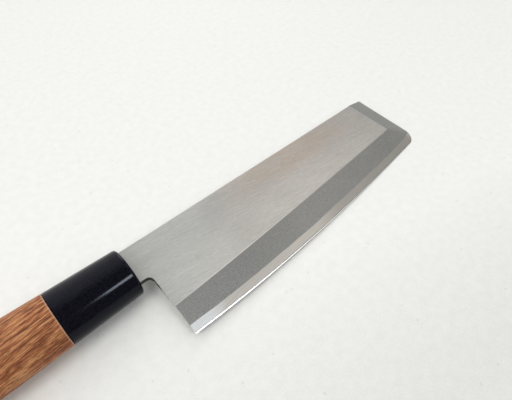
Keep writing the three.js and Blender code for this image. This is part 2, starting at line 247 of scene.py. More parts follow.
spine_tip = Vector((HEEL_X + BLADE_LENGTH, SPINE_HEIGHT))
edge_tip = Vector((spine_tip.x + TIP_OVERHANG, -TIP_EDGE_DEPTH))
edge_heel = Vector((HEEL_X, -HEEL_EDGE_DEPTH))
edge_handle = Vector((HEEL_X + (edge_tip.x - HEEL_X) * BELLY_SHARE, -HEEL_EDGE_DEPTH - BELLY_DROP))
ridge_heel = Vector((HEEL_X, -RIDGE_HEEL_DEPTH))
ridge_spine = Vector((spine_tip.x - TIP_BEVEL_WIDTH, SPINE_HEIGHT))
front_share = (SPINE_HEIGHT + RIDGE_TIP_DEPTH) / (SPINE_HEIGHT + TIP_EDGE_DEPTH)
ridge_turn = Vector((spine_tip.x + TIP_OVERHANG * front_share - TIP_BEVEL_INNER_WIDTH, -RIDGE_TIP_DEPTH))
ridge_handle = Vector((
    HEEL_X + (ridge_turn.x - HEEL_X) * RIDGE_SAG_SHARE,
    ridge_heel.y + (ridge_turn.y - ridge_heel.y) * RIDGE_SAG_SHARE - RIDGE_SAG,
))

tip_arc, tip_reach = round_corner(edge_handle, edge_tip, spine_tip, TIP_CORNER_RADIUS, CORNER_STEPS)
ridge_arc, ridge_reach = round_corner(
    ridge_handle, ridge_turn, ridge_spine, RIDGE_CORNER_RADIUS, CORNER_STEPS)
edge_run = curve_up_to(edge_heel, edge_handle, edge_tip, tip_reach, EDGE_STEPS)
ridge_run = curve_up_to(ridge_heel, ridge_handle, ridge_turn, ridge_reach, EDGE_STEPS)
spine_arc, spine_reach = round_corner(edge_tip, spine_tip, ridge_spine, SPINE_CORNER_RADIUS, ARC_STEPS // 2)
notch_arc, _ = round_corner(
    Vector((FIT_GAP, -NECK_DEPTH)), Vector((HEEL_X, -NECK_DEPTH)), edge_heel, NOTCH_RADIUS, ARC_STEPS)


def ground_sections():
    """Lines square across the ground faces, from the ridge to the outline, right round the tip.
    Each is a list of points: the rows that round the ridge, those of the wide bevel, the line that
    honing leaves at the final bevel's shoulder, and the outline."""
    pairs = []
    for i in range(EDGE_STEPS + 1):
        width = MICRO_WIDTH + (MICRO_TIP_WIDTH - MICRO_WIDTH) * i / EDGE_STEPS
        pairs.append((ridge_run[i], edge_run[i], edge_run[i], width, EDGE_LAND))
    for i in range(1, CORNER_STEPS + 1):
        land = EDGE_LAND + (FRONT_LAND - EDGE_LAND) * i / CORNER_STEPS
        pairs.append((ridge_arc[i], tip_arc[i], tip_arc[i], MICRO_TIP_WIDTH, land))
    straight = 1 - spine_reach / (spine_tip - tip_arc[-1]).length
    shares = [straight * i / FRONT_STEPS for i in range(1, FRONT_STEPS)]
    outline = [tip_arc[-1].lerp(spine_tip, share) for share in shares] + spine_arc
    shares += [straight + (1 - straight) * i / (len(spine_arc) - 1) for i in range(len(spine_arc))]
    for share, outer in zip(shares, outline):
        inner, full = ridge_arc[-1].lerp(ridge_spine, share), tip_arc[-1].lerp(spine_tip, share)
        pairs.append((inner, full, outer, MICRO_TIP_WIDTH, FRONT_LAND))
    sections = []
    for inner, full, outer, width, land in pairs:
        rise = MICRO_RISE * width / MICRO_WIDTH
        length, reach = (full - inner).length, (outer - inner).length
        final = max(width - (length - reach), width * NARROWEST)
        shoulder = BACK_Z + land + rise
        slope = (flat_z(inner.x) - shoulder) / (length - width)
        section = []
        for k in range(RIDGE_ROWS + 1):
            way = RIDGE_ROUND * (2 * k / RIDGE_ROWS - 1)
            point = inner + (outer - inner) * way / reach
            drop = slope * (way + RIDGE_ROUND) ** 2 / (4 * RIDGE_ROUND)
            section.append(Vector((point.x, point.y, flat_z(inner.x) - drop)))
        spread = reach - final - RIDGE_ROUND
        ways = [RIDGE_ROUND + spread * k / BEVEL_ROWS for k in range(1, BEVEL_ROWS + 1)]
        ways += [reach - final + min(HONED_LINE, final * LINE_SHARE), reach]
        for way in ways:
            left = length - way
            z = shoulder + slope * (left - width) if left > width else BACK_Z + land + rise * left / width
            point = inner.lerp(outer, way / reach)
            section.append(Vector((point.x, point.y, z)))
        sections.append(section)
    return sections


# Meshes

def put(name, data):
    """Puts an object with this data into the scene."""
    made = bpy.data.objects.new(name, data)
    bpy.context.scene.collection.objects.link(made)
    return made


class Skin:
    """Patches of a closed skin, joined at the end. Each face has a zone, its material slot."""

    def __init__(self):
        self.bm = bmesh.new()

    def face(self, points, zone):
        verts = [self.bm.verts.new(p) for p in points]
        made = self.bm.faces.new(verts)
        made.material_index = zone

    def strip(self, first, second, zone, closed=False):
        """Faces between two lines of points that have as many points each."""
        count = len(first)
        for i in range(count if closed else count - 1):
            j = (i + 1) % count
            self.face([first[i], first[j], second[j], second[i]], zone)

    def area(self, loops, zone):
        """A flat area inside its first loop, with the other loops as holes."""
        points = [p for loop in loops for p in loop]
        for triangle in tessellate_polygon(loops):
            self.face([points[i] for i in triangle], zone)

    def close(self, name, finishes):
        """Joins the patches and gives the piece, in the row frame, with its edges kept crisp."""
        bmesh.ops.remove_doubles(self.bm, verts=self.bm.verts, dist=JOIN_WITHIN)
        bmesh.ops.dissolve_degenerate(self.bm, edges=self.bm.edges, dist=SLIVER)
        bmesh.ops.recalc_face_normals(self.bm, faces=self.bm.faces)
        for edge in self.bm.edges:
            zones = {f.material_index for f in edge.link_faces}
            bend = edge.calc_face_angle(0)
            edge.smooth = len(zones) == 1 and bend < math.radians(CREASE)
        for face in self.bm.faces:
            face.smooth = True
        self.bm.transform(KNIFE)
        mesh = bpy.data.meshes.new(name)
        self.bm.to_mesh(mesh)
        self.bm.free()
        for finish in finishes:
            mesh.materials.append(finish)
        return put(name, mesh)


# Zones of the blade's skin, in the order of its finishes
FLAT, RIDGE, BEVEL, LINE, FINAL, WALL, BACK, TANG = range(8)


def tang_section(x, clearance=0.0):
    """Corners of the tang, or of the hole that takes it, at x."""
    share = min(max(-x / TANG_LENGTH, 0), 1)
    point = min(max((TANG_LENGTH + x) / TANG_POINT, 0), 1)
    height = TANG_HEIGHT + (TANG_END_HEIGHT - TANG_HEIGHT) * share
    half_y = height / 2 * (TANG_POINT_SHARE + (1 - TANG_POINT_SHARE) * point) + clearance
    half_z = (TANG_THICKNESS + (TANG_END_THICKNESS - TANG_THICKNESS) * share) / 2 + clearance
    middle = TANG_MIDDLE * (1 - share)
    return [Vector((x, middle + y * half_y, z * half_z)) for y, z in RECTANGLE]


def hollow_rings():
    """The dish ground into the back, from its rim inwards."""
    rear = HEEL_X + HOLLOW_END_RIM
    front = ridge_turn.x + TIP_BEVEL_INNER_WIDTH - HOLLOW_END_RIM
    top = SPINE_HEIGHT - HOLLOW_SPINE_RIM
    power = 2 / HOLLOW_SQUARENESS

    def low_y(x):
        for a, b in zip(edge_run, edge_run[1:]):
            if a.x <= x <= b.x:
                return a.y + (b.y - a.y) * (x - a.x) / (b.x - a.x) + HOLLOW_EDGE_RIM
        return edge_run[-1].y + HOLLOW_EDGE_RIM

    rings = []
    for share in HOLLOW_SHARES:
        ring = []
        z = BACK_Z + HOLLOW_DEPTH * (1 - share ** 2)
        for i in range(HOLLOW_POINTS):
            angle = 2 * math.pi * i / HOLLOW_POINTS
            wide = math.copysign(abs(math.cos(angle)) ** power, math.cos(angle)) * share
            high = math.copysign(abs(math.sin(angle)) ** power, math.sin(angle)) * share
            x = (rear + front) / 2 + (front - rear) / 2 * wide
            low = low_y(x)
            ring.append(Vector((x, (top + low) / 2 + (top - low) / 2 * high, z)))
        rings.append(ring)
    return rings


def blade_piece(finishes):
    """The blade with its neck and tang, one closed skin."""
    skin = Skin()
    sections = ground_sections()
    rows = list(zip(*sections))
    zones = [RIDGE] * RIDGE_ROWS + [BEVEL] * BEVEL_ROWS + [LINE, FINAL]
    for upper, lower, zone in zip(rows, rows[1:], zones):
        skin.strip(upper, lower, zone)

    # The wall's top edge, from the neck round the heel, the edge and the tip to the spine
    def lift(p, z=None):
        return Vector((p.x, p.y, flat_z(p.x) if z is None else z))

    ease_x = ridge_spine.x - SPINE_EASE_LEAD
    spine_xs = [ease_x + (FIT_GAP - ease_x) * i / SPINE_STEPS for i in range(SPINE_STEPS + 1)]
    neck_under = [Vector((FIT_GAP, -NECK_DEPTH))] + notch_arc
    ridge_line = list(rows[0])
    spine_end = sections[-1][::-1]
    wall_top = [lift(p) for p in neck_under] + list(sections[0]) + list(rows[-1][1:])
    wall_top += spine_end[1:]
    wall_top += [Vector((x, SPINE_HEIGHT, flat_z(x) - SPINE_EASE)) for x in spine_xs]
    eased_top = [Vector((x, SPINE_HEIGHT - SPINE_EASE, flat_z(x))) for x in spine_xs]
    skin.strip(wall_top[-len(spine_xs):], eased_top, WALL)
    skin.face([ridge_line[-1], wall_top[-len(spine_xs)], eased_top[0]], WALL)
    skin.area([[lift(p) for p in neck_under] + ridge_line + eased_top], FLAT)

    # The walls down to the back, whose spine edge is eased as well
    count = len(neck_under) + len(sections[0]) + len(rows[-1]) - 1 + len(spine_end) - 1
    under = [Vector((p.x, p.y, BACK_Z)) for p in wall_top[:count]]
    under += [Vector((x, SPINE_HEIGHT, BACK_Z + SPINE_EASE)) for x in spine_xs]
    skin.strip(wall_top, under, WALL)
    eased_under = [Vector((x, SPINE_HEIGHT - SPINE_EASE, BACK_Z)) for x in spine_xs]
    skin.strip(under[-len(spine_xs):], eased_under, WALL)
    skin.face([under[count - 1], under[count], eased_under[0]], WALL)
    rings = hollow_rings()
    skin.area([under[:count] + eased_under, rings[0]], BACK)
    for outer, inner in zip(rings, rings[1:]):
        skin.strip(outer, inner, BACK, closed=True)
    middle = sum(rings[-1], Vector()) / len(rings[-1])
    for i, point in enumerate(rings[-1]):
        skin.face([point, rings[-1][(i + 1) % len(rings[-1])], middle], BACK)

    # The neck's end, and the tang that goes on from it into the handle
    end = [wall_top[0], eased_top[-1], wall_top[-1], under[-1], eased_under[-1], under[0]]
    loops = [tang_section(x) for x in (FIT_GAP, 0, -TANG_LENGTH + TANG_POINT, -TANG_LENGTH)]
    skin.area([end, loops[0]], TANG)
    for first, second in zip(loops, loops[1:]):
        skin.strip(first, second, TANG, closed=True)
    skin.face(loops[-1], TANG)
    return skin.close("blade_ground", finishes)


def block(name, loops):
    """A closed block through loops of points, in millimetres, for cutting."""
    bm = bmesh.new()
    rings = [[bm.verts.new(p) for p in loop] for loop in loops]
    for first, second in zip(rings, rings[1:]):
        for i in range(len(first)):
            j = (i + 1) % len(first)
            bm.faces.new([first[i], first[j], second[j], second[i]])
    bm.faces.new(rings[0])
    bm.faces.new(rings[-1])
    bmesh.ops.recalc_face_normals(bm, faces=bm.faces)
    mesh = bpy.data.meshes.new(name)
    bm.to_mesh(mesh)
    bm.free()
    return put(name, mesh)


def oval_turning_tree():
    """Turns a profile line round the handle's axis and flattens it to an oval, then cuts its slot.
    The profile's points hold the place along the axis as x and the radius as y."""
    tree = bpy.data.node_groups.new("oval_turning", "GeometryNodeTree")
    tree.is_modifier = True
    for name, kind in (
        ("Profile", "Geometry"), ("Segments", "Int"), ("Thickness over width", "Float"),
        ("Slot cutter", "Object"), ("Finish", "Material"),
    ):
        tree.interface.new_socket(name, in_out="INPUT", socket_type="NodeSocket" + kind)
    tree.interface.new_socket("Piece", in_out="OUTPUT", socket_type="NodeSocketGeometry")
    given = add(tree, "NodeGroupInput").outputs
    size = add(tree, "GeometryNodeAttributeDomainSize", component="MESH", links={
        "Geometry": given["Profile"]})
    around = add(tree, "ShaderNodeMath", operation="ADD", links={0: given["Segments"]}, values={1: 1})
    grid = add(tree, "GeometryNodeMeshGrid", links={
        "Vertices X": size.outputs["Point Count"], "Vertices Y": around.outputs[0]})
    index = add(tree, "GeometryNodeInputIndex").outputs[0]
    share = add(tree, "ShaderNodeMath", operation="DIVIDE", links={0: index, 1: around.outputs[0]})
    ring = add(tree, "ShaderNodeMath", operation="FLOOR", links={0: share.outputs[0]})
    step = add(tree, "ShaderNodeMath", operation="MODULO", links={0: index, 1: around.outputs[0]})
    angle = add(tree, "ShaderNodeMath", operation="MULTIPLY", links={0: step.outputs[0]}, values={
        1: 2 * math.pi})
    angle = add(tree, "ShaderNodeMath", operation="DIVIDE", links={
        0: angle.outputs[0], 1: given["Segments"]})
    position = add(tree, "GeometryNodeInputPosition").outputs[0]
    picked = add(tree, "GeometryNodeSampleIndex", data_type="FLOAT_VECTOR", links={
        "Geometry": given["Profile"], "Value": position, "Index": ring.outputs[0]})
    parts = add(tree, "ShaderNodeSeparateXYZ", links={0: picked.outputs[0]})
    cosine = add(tree, "ShaderNodeMath", operation="COSINE", links={0: angle.outputs[0]})
    sine = add(tree, "ShaderNodeMath", operation="SINE", links={0: angle.outputs[0]})
    wide = add(tree, "ShaderNodeMath", operation="MULTIPLY", links={
        0: cosine.outputs[0], 1: parts.outputs["Y"]})
    tall = add(tree, "ShaderNodeMath", operation="MULTIPLY", links={
        0: sine.outputs[0], 1: parts.outputs["Y"]})
    flat = add(tree, "ShaderNodeMath", operation="MULTIPLY", links={
        0: tall.outputs[0], 1: given["Thickness over width"]})
    place = add(tree, "ShaderNodeCombineXYZ", links={
        "X": parts.outputs["X"], "Y": wide.outputs[0], "Z": flat.outputs[0]})
    turned = add(tree, "GeometryNodeSetPosition", links={
        "Geometry": grid.outputs["Mesh"], "Position": place.outputs[0]})
    closed = add(tree, "GeometryNodeMergeByDistance", links={"Geometry": turned.outputs[0]}, values={
        "Distance": JOIN_WITHIN / 2})
    cutter = add(tree, "GeometryNodeObjectInfo", links={"Object": given["Slot cutter"]})
    cut = add(tree, "GeometryNodeMeshBoolean", operation="DIFFERENCE", links={
        "Mesh 1": closed.outputs[0], "Mesh 2": cutter.outputs["Geometry"]})
    real = add(tree, "GeometryNodeRealizeInstances", links={"Geometry": cut.outputs[0]})
    painted = add(tree, "GeometryNodeSetMaterial", links={
        "Geometry": real.outputs[0], "Material": given["Finish"]})
    add(tree, "NodeGroupOutput", links={"Piece": painted.outputs[0]})
    return tree


def turned_piece(name, profile, cutter, finish):
    """An oval piece from its profile and the block that cuts its slot."""
    line = bpy.data.meshes.new(name + "_profile")
    steps = [(i, i + 1) for i in range(len(profile) - 1)]
    line.from_pydata([(x, radius, 0) for x, radius in profile], steps, [])
    blank = put(name + "_blank", line)
    turning = blank.modifiers.new("turning", "NODES")
    tree = bpy.data.node_groups.get("oval_turning") or oval_turning_tree()
    turning.node_group = tree
    sockets = {s.name: s.identifier for s in tree.interface.items_tree if s.in_out == "INPUT"}
    turning[sockets["Segments"]] = OVAL_SEGMENTS
    turning[sockets["Thickness over width"]] = OVAL_SHARE
    turning[sockets["Slot cutter"]] = cutter
    turning[sockets["Finish"]] = finish
    shaped = blank.evaluated_get(bpy.context.evaluated_depsgraph_get())
    mesh = bpy.data.meshes.new_from_object(shaped)
    bpy.data.objects.remove(blank)
    bpy.data.objects.remove(cutter)
    bm = bmesh.new()
    bm.from_mesh(mesh)
    bmesh.ops.recalc_face_normals(bm, faces=bm.faces)
    bm.transform(KNIFE)
    bm.to_mesh(mesh)
    bm.free()
    mesh.name = name
    mesh.shade_smooth()
    mesh.set_sharp_from_angle(angle=math.radians(CREASE))
    return put(name, mesh)


def ferrule_radius(behind):
    """The ferrule's wide radius, this far behind its mouth."""
    return (MOUTH_WIDTH + (JOINT_WIDTH - MOUTH_WIDTH) * behind / FERRULE_LENGTH) / 2


def bore_radius(behind):
    """The wide radius of the ferrule's bore, this far behind its mouth."""
    return ferrule_radius(behind) - FERRULE_WALL


def slot_loop(x):
    """The rounded slot in the ferrule's end wall, at x."""
    clearance = SEAL_WIDTH + FIT_GAP * 2
    half_y = TANG_HEIGHT / 2 + clearance
    half_z = TANG_THICKNESS / 2 + clearance
    radius = min(SLOT_CORNER_RADIUS, clearance)
    corners = [Vector((TANG_MIDDLE + y * half_y, z * half_z)) for y, z in RECTANGLE]
    loop = []
    for i, corner in enumerate(corners):
        arc, _ = round_corner(corners[i - 1], corner, corners[(i + 1) % 4], radius, SLOT_STEPS)
        loop += [Vector((x, p.x, p.y)) for p in arc]
    return loop


def ferrule_piece(finish):
    """The resin cap: its rounded rim, its side, and its bore up to the end wall."""
    profile = [(0, 0), (0, ferrule_radius(RIM_RADIUS) * FACE_RING_SHARE)]
    centre = ferrule_radius(RIM_RADIUS) - RIM_RADIUS
    for i in range(RIM_STEPS + 1):
        angle = math.pi / 2 * i / RIM_STEPS
        x = -RIM_RADIUS + RIM_RADIUS * math.cos(angle)
        profile.append((x, centre + RIM_RADIUS * math.sin(angle)))
    for i in range(1, SIDE_STEPS + 1):
        x = -RIM_RADIUS + (JOINT_EASE - FERRULE_LENGTH + RIM_RADIUS) * i / SIDE_STEPS
        profile.append((x, ferrule_radius(-x)))
    profile.append((-FERRULE_LENGTH, JOINT_WIDTH / 2 - JOINT_EASE))
    profile.append((-FERRULE_LENGTH, bore_radius(FERRULE_LENGTH)))
    profile.append((-MOUTH_WALL, bore_radius(MOUTH_WALL)))
    profile.append((-MOUTH_WALL, 0))
    slot = block("slot", [slot_loop(-MOUTH_WALL - SLOT_LEAD), slot_loop(SLOT_LEAD)])
    return turned_piece("ferrule_cap", profile, slot, finish)


def handle_piece(finish):
    """The grip with its tenon: shoulder, slow flare and rounded butt, and the hole for the tang."""
    start = -MOUTH_WALL - FIT_GAP
    shoulder = -FERRULE_LENGTH - FIT_GAP
    butt = -FERRULE_LENGTH - WOOD_LENGTH
    butt_centre = butt + BUTT_RADIUS
    profile = [
        (start, 0),
        (start, bore_radius(-start) - FIT_GAP - TENON_EASE),
        (start - TENON_EASE, bore_radius(-start + TENON_EASE) - FIT_GAP),
        (shoulder, bore_radius(-shoulder) - FIT_GAP),
    ]
    for i in range(FLARE_STEPS + 1):
        share = i / FLARE_STEPS
        bow = FLARE_BOW * math.sin(math.pi * share)
        radius = (JOINT_WIDTH + (BUTT_WIDTH - JOINT_WIDTH) * share) / 2 + bow
        profile.append((shoulder + (butt_centre - shoulder) * share, radius))
    for i in range(1, BUTT_STEPS + 1):
        angle = math.pi / 2 * i / BUTT_STEPS
        radius = BUTT_WIDTH / 2 - BUTT_RADIUS + BUTT_RADIUS * math.cos(angle)
        profile.append((butt_centre - BUTT_RADIUS * math.sin(angle), radius))
    profile.append((butt, 0))
    xs = (HOLE_LEAD, 0, -TANG_LENGTH + TANG_POINT, -TANG_LENGTH - TANG_ROOT)
    hole = block("tang_hole", [tang_section(x, FIT_GAP) for x in xs])
    return turned_piece("oval_grip", profile, hole, finish)


# Finishes

# Turns of the belt's lines and of the wood's grain from the knife's length, in degrees
BRUSH_TURN = -8.0
WOOD_TURN = 7.0
# The length, and the range of heights, over which ramps and curves along the blade are drawn
SPAN = 180.0
CURVE_LOW = -40.0
CURVE_RANGE = 20.0


def drawn_noise(tree, place, size, turn=0.0, detail=2.0, roughness=0.5):
    """Noise whose grains have this size in millimetres, turned by some degrees off the length."""
    grain = add(tree, "ShaderNodeMapping", vector_type="TEXTURE", links={"Vector": place}, values={
        "Rotation": (0, 0, math.radians(turn)), "Scale": size})
    return add(tree, "ShaderNodeTexNoise", links={"Vector": grain.outputs[0]}, values={
        "Scale": 1.0, "Detail": detail, "Roughness": roughness})


def dress(tree, shader, tone, rough=None, height=None, strength=0.2, depth=0.00003, invert=False):
    """Joins a finish's colour, roughness and fine relief, with its depth in metres, to the shader."""
    tree.links.new(tone, shader.inputs["Base Color"])
    if rough is not None:
        tree.links.new(rough, shader.inputs["Roughness"])
    if height is not None:
        bump = add(tree, "ShaderNodeBump", invert=invert, links={"Height": height}, values={
            "Strength": strength, "Distance": depth})
        tree.links.new(bump.outputs[0], shader.inputs["Normal"])


def brushed_flat():
    """Stainless cladding, ground with a belt at 8 degrees off the spine. Its lines are a few
    millimetres long among longer ones of 15 mm, and a third of a millimetre wide, as coarse as they
    need to be to show. Light grey, darker at the neck, a painted shade where the ferrule shades the
    flat, darker in a band at 50 mm out, lighter towards the ridge, and a warm reflection is painted
    along the middle of the spine."""
    made, tree, shader, place = finish_of("belt_brushed_cladding_steel", Metallic=1.0)
    long_lines = drawn_noise(tree, place, (15, 0.36, 0.36), BRUSH_TURN, roughness=0.6)
    short_lines = drawn_noise(tree, place, (2.6, 0.3, 0.3), BRUSH_TURN, roughness=0.6)
    fine = add(tree, "ShaderNodeMix", data_type="FLOAT", values={0: 0.5}, links={
        2: long_lines.outputs[0], 3: short_lines.outputs[0]})
    cloud = drawn_noise(tree, place, (16, 5, 5), BRUSH_TURN)
    tone = add(tree, "ShaderNodeMix", data_type="FLOAT", values={0: 0.14}, links={
        2: fine.outputs[0], 3: cloud.outputs[0]})
    shade = add(tree, "ShaderNodeValToRGB", links={0: tone.outputs[0]}, stops=[
        (0.34, linear("#B6B5B2")), (0.5, linear("#C6C5C1")), (0.66, linear("#D6D5D1"))])

    parts = add(tree, "ShaderNodeSeparateXYZ", links={0: place})
    # Painted reflection: a warm tint on the spine side of the flat, from 45 to 160 mm out, in patches of
    # the cloud noise
    painted_reflection = cloud.outputs[0]
    for axis, clear, full in (("X", 45.0, 80.0), ("X", 160.0, 110.0), ("Y", -12.0, 5.0)):
        fade = add(tree, "ShaderNodeMapRange", interpolation_type="SMOOTHSTEP", links={
            "Value": parts.outputs[axis]}, values={"From Min": clear, "From Max": full})
        faded = add(tree, "ShaderNodeMath", operation="MULTIPLY", links={0: painted_reflection, 1: fade.outputs[0]})
        painted_reflection = faded.outputs[0]
    reflection_tinted = add(tree, "ShaderNodeMix", data_type="RGBA", blend_type="MULTIPLY", links={
        0: painted_reflection, 6: shade.outputs[0]}, values={7: linear("#F0DAC6")})
    # Painted shade along the length: darkest and coolest at the neck, where the ferrule shades the flat,
    # with a darker band about 50 mm out
    share = add(tree, "ShaderNodeMath", operation="DIVIDE", links={0: parts.outputs["X"]}, values={
        1: SPAN})
    neck_shade_and_bands = add(tree, "ShaderNodeValToRGB", links={0: share.outputs[0]}, stops=[
        (0.006, (0.81, 0.835, 0.835, 1)), (0.06, (0.94, 0.97, 0.97, 1)),
        (0.12, (0.99, 1.02, 1.02, 1)), (0.2, (0.96, 0.985, 0.985, 1)),
        (0.275, 0.905), (0.36, 0.965), (0.6, 1.02), (0.8, 0.98)])
    toned_along = add(tree, "ShaderNodeMix", data_type="RGBA", blend_type="MULTIPLY", values={0: 1.0}, links={
        6: reflection_tinted.outputs[2], 7: neck_shade_and_bands.outputs[0]})
    edgeward = add(tree, "ShaderNodeMapRange", links={"Value": parts.outputs["Y"]}, values={
        "From Min": -1.0, "From Max": -19.0, "To Min": 0.925, "To Max": 1.07})
    lit = add(tree, "ShaderNodeVectorMath", operation="SCALE", links={
        0: toned_along.outputs[2], "Scale": edgeward.outputs[0]})
    rough = add(tree, "ShaderNodeMapRange", links={"Value": fine.outputs[0]}, values={
        "From Min": 0.3, "From Max": 0.7, "To Min": 0.36, "To Max": 0.44})
    dress(tree, shader, lit.outputs[0], rough.outputs[0], fine.outputs[0], strength=0.25)
    return made


def ridge_painted_highlight():
    """The ridge between the flat and the wide bevel, rubbed smooth in use near the heel. Its colour
    is painted bright near the heel, a painted highlight, and duller further out, where it keeps the
    flat's brushing."""
    made, tree, shader, place = finish_of("ridge_cladding_steel_painted_highlight", Metallic=1.0)
    parts = add(tree, "ShaderNodeSeparateXYZ", links={0: place})
    out = add(tree, "ShaderNodeMapRange", links={"Value": parts.outputs["X"]}, values={
        "From Min": 25.0, "From Max": 100.0})
    # Painted highlight: the colour is bright near the heel and fades to a duller grey from 25 to 100 mm out
    tone = add(tree, "ShaderNodeMix", data_type="RGBA", links={0: out.outputs[0]}, values={
        6: linear("#EDECE9"), 7: linear("#C6C5BF")})
    rough = add(tree, "ShaderNodeMapRange", links={"Value": out.outputs[0]}, values={
        "To Min": 0.28, "To Max": 0.4})
    dress(tree, shader, tone.outputs[2], rough.outputs[0])
    return made


# The lower limit of the matte band on the wide bevel: (x, y) in millimetres
MATTE_LINE = (
    (0, -34.0), (5, -34.2), (23, -34.7), (40, -34.8), (58, -34.4), (78, -33.9), (94, -32.9),
    (115, -31.7), (130, -30.8), (143, -29.7), (160, -28.2), (169, -26.6), (180, -24.5))


def blasted_bevel():
    """The wide bevel: blasted cladding, an even matte grey painted lighter towards the tip as painted
    light, with a grit of about half a millimetre, as coarse as it needs to be to show. Below the weld
    line is the hard edge steel, satin polished along the edge, with a painted highlight that makes it
    palest at the heel, and painted darker from about 85 mm out."""
    made, tree, shader, place = finish_of("blasted_cladding_over_polished_edge_steel", Metallic=1.0)
    parts = add(tree, "ShaderNodeSeparateXYZ", links={0: place})
    share = add(tree, "ShaderNodeMath", operation="DIVIDE", links={0: parts.outputs["X"]}, values={
        1: SPAN})
    limit = add(tree, "ShaderNodeFloatCurve", links={"Value": share.outputs[0]})
    curve = limit.mapping.curves[0]
    while len(curve.points) < len(MATTE_LINE):
        curve.points.new(0.5, 0.5)
    for point, (x, y) in zip(curve.points, MATTE_LINE):
        point.location = (x / SPAN, (y - CURVE_LOW) / CURVE_RANGE)
    limit.mapping.update()
    limit_y = add(tree, "ShaderNodeMath", operation="MULTIPLY_ADD", links={0: limit.outputs[0]}, values={
        1: CURVE_RANGE, 2: CURVE_LOW})
    below = add(tree, "ShaderNodeMath", operation="SUBTRACT", links={
        0: limit_y.outputs[0], 1: parts.outputs["Y"]})
    wave = drawn_noise(tree, place, (9, 3, 3), detail=3.0)
    shift = add(tree, "ShaderNodeMath", operation="MULTIPLY_ADD", links={
        0: wave.outputs[0], 2: below.outputs[0]}, values={1: 0.5})
    polished = add(tree, "ShaderNodeMapRange", links={"Value": shift.outputs[0]}, values={
        "From Min": 0.1, "From Max": 0.42})

    grit = add(tree, "ShaderNodeTexNoise", links={"Vector": place}, values={
        "Scale": 1.7, "Detail": 3.0, "Roughness": 0.7})
    patch = add(tree, "ShaderNodeTexNoise", links={"Vector": place}, values={
        "Scale": 0.05, "Detail": 2.0})
    mixed = add(tree, "ShaderNodeMix", data_type="FLOAT", values={0: 0.12}, links={
        2: grit.outputs[0], 3: patch.outputs[0]})
    matte = add(tree, "ShaderNodeValToRGB", links={0: mixed.outputs[0]}, stops=[
        (0.34, linear("#8A8A87")), (0.5, linear("#989896")), (0.66, linear("#A6A6A3"))])
    # Painted light: the matte grey is lit up towards the tip, from 0.94 at 38 mm to 1.16 at 90 mm
    painted_light_outward = add(tree, "ShaderNodeMapRange", interpolation_type="SMOOTHSTEP", links={
        "Value": parts.outputs["X"]}, values={
        "From Min": 38.0, "From Max": 90.0, "To Min": 0.94, "To Max": 1.16})
    blasted = add(tree, "ShaderNodeVectorMath", operation="SCALE", links={
        0: matte.outputs[0], "Scale": painted_light_outward.outputs[0]})

    strokes = drawn_noise(tree, place, (14, 0.4, 0.4), 4.0, detail=3.0)
    streaky = add(tree, "ShaderNodeMapRange", links={"Value": strokes.outputs[0]}, values={
        "From Min": 0.3, "From Max": 0.7, "To Min": 0.93, "To Max": 1.05})
    reach = add(tree, "ShaderNodeMath", operation="MULTIPLY_ADD", links={
        0: wave.outputs[0], 2: parts.outputs["X"]}, values={1: 8.0})
    reach = add(tree, "ShaderNodeMath", operation="DIVIDE", links={0: reach.outputs[0]}, values={1: SPAN})
    # Painted light along the polished strip: near white at the heel as a painted highlight, and darker from
    # about 85 mm out
    satin_painted_light = add(tree, "ShaderNodeValToRGB", links={0: reach.outputs[0]}, stops=[
        (0.11, linear("#FBFDFC")), (0.15, linear("#E2DDD6")),
        (0.47, linear("#E4DFD6")), (0.56, linear("#CECAC2"))])
    worked_and_painted = add(tree, "ShaderNodeVectorMath", operation="SCALE", links={
        0: satin_painted_light.outputs[0], "Scale": streaky.outputs[0]})
    tone = add(tree, "ShaderNodeMix", data_type="RGBA", links={
        0: polished.outputs[0], 6: blasted.outputs[0], 7: worked_and_painted.outputs[0]})
    rough = add(tree, "ShaderNodeMapRange", links={"Value": polished.outputs[0]}, values={
        "To Min": 0.46, "To Max": 0.32})
    height = add(tree, "ShaderNodeMix", data_type="FLOAT", links={
        0: polished.outputs[0], 2: grit.outputs[0], 3: strokes.outputs[0]})
    dress(tree, shader, tone.outputs[2], rough.outputs[0], height.outputs[0])
    return made


def honing_line():
    """The dark line of grit scratches that honing leaves along the final bevel's shoulder. It is
    fainter towards the heel."""
    made, tree, shader, place = finish_of("scratched_edge_steel", Metallic=1.0, Roughness=0.5)
    strokes = drawn_noise(tree, place, (6, 0.3, 0.3))
    tone = add(tree, "ShaderNodeValToRGB", links={0: strokes.outputs[0]}, stops=[
        (0.3, linear("#4E4D4A")), (0.7, linear("#74736F"))])
    parts = add(tree, "ShaderNodeSeparateXYZ", links={0: place})
    faint = add(tree, "ShaderNodeMapRange", interpolation_type="SMOOTHSTEP", links={
        "Value": parts.outputs["X"]}, values={
        "From Min": 20.0, "From Max": 65.0, "To Min": 2.6, "To Max": 1.0})
    toned_along = add(tree, "ShaderNodeVectorMath", operation="SCALE", links={
        0: tone.outputs[0], "Scale": faint.outputs[0]})
    dress(tree, shader, toned_along.outputs[0])
    return made


def honed_bevel():
    """The final bevel, honed on a fine stone: near mirror, with faint lines along the edge. Its colour
    is painted darker at the heel, a painted shade that dims its reflection there."""
    made, tree, shader, place = finish_of("honed_edge_steel", Metallic=1.0)
    strokes = drawn_noise(tree, place, (12, 0.2, 0.2))
    parts = add(tree, "ShaderNodeSeparateXYZ", links={0: place})
    out = add(tree, "ShaderNodeMapRange", interpolation_type="SMOOTHSTEP", links={
        "Value": parts.outputs["X"]}, values={"From Min": 15.0, "From Max": 50.0})
    # Painted shade: darker up to 15 mm from the heel, full brightness beyond 50 mm
    tone = add(tree, "ShaderNodeMix", data_type="RGBA", links={0: out.outputs[0]}, values={
        6: linear("#E2E2E0"), 7: linear("#FAF9F6")})
    rough = add(tree, "ShaderNodeMapRange", links={"Value": strokes.outputs[0]}, values={
        "To Min": 0.3, "To Max": 0.4})
    dress(tree, shader, tone.outputs[2], rough.outputs[0])
    return made


